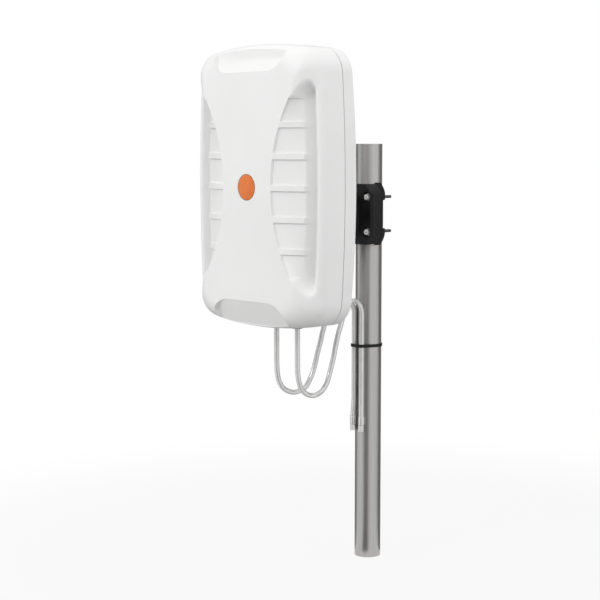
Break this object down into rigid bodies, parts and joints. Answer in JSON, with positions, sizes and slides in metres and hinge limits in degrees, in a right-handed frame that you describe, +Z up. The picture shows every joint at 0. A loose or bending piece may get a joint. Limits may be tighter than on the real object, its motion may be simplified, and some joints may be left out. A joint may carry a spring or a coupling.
{
  "type": "directional panel antenna",
  "caption": "White moulded directional panel antenna with a ribbed front, on a tilting black pole clamp, fixed to a steel mast tube with two cables tied down it.",
  "frame": {"origin": "centre of the mast tube's lower end", "axes": "+Z up the mast; the panel looks along -Y; +X to the right of someone who faces the panel"},
  "size_m": [0.29, 0.2884, 0.8255],
  "materials": {
    "radome_white": "satin",
    "cover_white": "satin",
    "badge_orange": "satin",
    "bracket_black": "satin",
    "mast_steel": "satin",
    "zinc_steel": "satin",
    "dark_steel": "satin",
    "cable_grey": "satin",
    "gland_grey": "matte",
    "seal_black": "matte",
    "sheet_aluminium": "satin",
    "board_green": "satin",
    "post_ivory": "matte",
    "copper": "satin",
    "plated_brass": "satin",
    "plated_nickel": "satin"
  },
  "bodies": {
    "mast": {"mast": "mast_steel"},
    "bracket": {"mast_saddle": "bracket_black", "clamp_bolts": "zinc_steel", "clamp_washers": "zinc_steel", "pivot_bolt": "dark_steel", "pivot_nut": "dark_steel", "pivot_washers": "zinc_steel", "lock_bolt": "dark_steel", "lock_nut": "dark_steel", "lock_washers": "zinc_steel", "left_cable": "cable_grey", "right_cable": "cable_grey", "left_connector": "cable_grey", "right_connector": "cable_grey", "cable_tie_strap": "bracket_black", "cable_tie_head": "bracket_black"},
    "jaw": {"mast_jaw": "bracket_black", "clamp_nuts": "dark_steel"},
    "panel": {"back_plate": "bracket_black", "plate_screws": "dark_steel", "rear_cover": "cover_white", "rim_seal": "seal_black", "cover_screws": "zinc_steel", "front_radome": "radome_white", "badge": "badge_orange", "vent_plug": "gland_grey", "reflector_tray": "sheet_aluminium", "reflector_screws": "zinc_steel", "feed_board": "board_green", "board_standoffs": "post_ivory", "board_screws": "zinc_steel", "upper_driver": "copper", "lower_driver": "copper", "upper_near_director": "sheet_aluminium", "lower_near_director": "sheet_aluminium", "upper_far_director": "sheet_aluminium", "lower_far_director": "sheet_aluminium", "upper_element_post": "post_ivory", "lower_element_post": "post_ivory", "feed_pins": "plated_brass", "left_launcher": "plated_brass", "right_launcher": "plated_brass", "left_gland_body": "gland_grey", "right_gland_body": "gland_grey", "gland_locknuts": "gland_grey", "gland_seals": "seal_black", "left_gland_nut": "gland_grey", "right_gland_nut": "gland_grey"},
    "left_coupling": {"left_coupling_nut": "plated_nickel"},
    "right_coupling": {"right_coupling_nut": "plated_nickel"}
  },
  "joints": [
    {"name": "azimuth_turn", "type": "hinge", "parent": "mast", "child": "bracket", "pos_m": [0, 0, 0.565], "axis": [0, 0, 1], "continuous": true},
    {"name": "tilt", "type": "hinge", "parent": "bracket", "child": "panel", "pos_m": [0, -0.1075, 0.565], "axis": [1, 0, 0], "range_deg": [-15, 15], "deforming": ["left_cable", "right_cable"]},
    {"name": "jaw_slide", "type": "slide", "parent": "bracket", "child": "jaw", "axis": [0, 1, 0], "range_m": [0, 0.008]},
    {"name": "left_nut_spin", "type": "hinge", "parent": "bracket", "child": "left_coupling", "pos_m": [-0.0095, -0.025, 0.2157], "axis": [0, 0, 1], "continuous": true},
    {"name": "right_nut_spin", "type": "hinge", "parent": "bracket", "child": "right_coupling", "pos_m": [0.0095, -0.025, 0.2157], "axis": [0, 0, 1], "continuous": true}
  ]
}
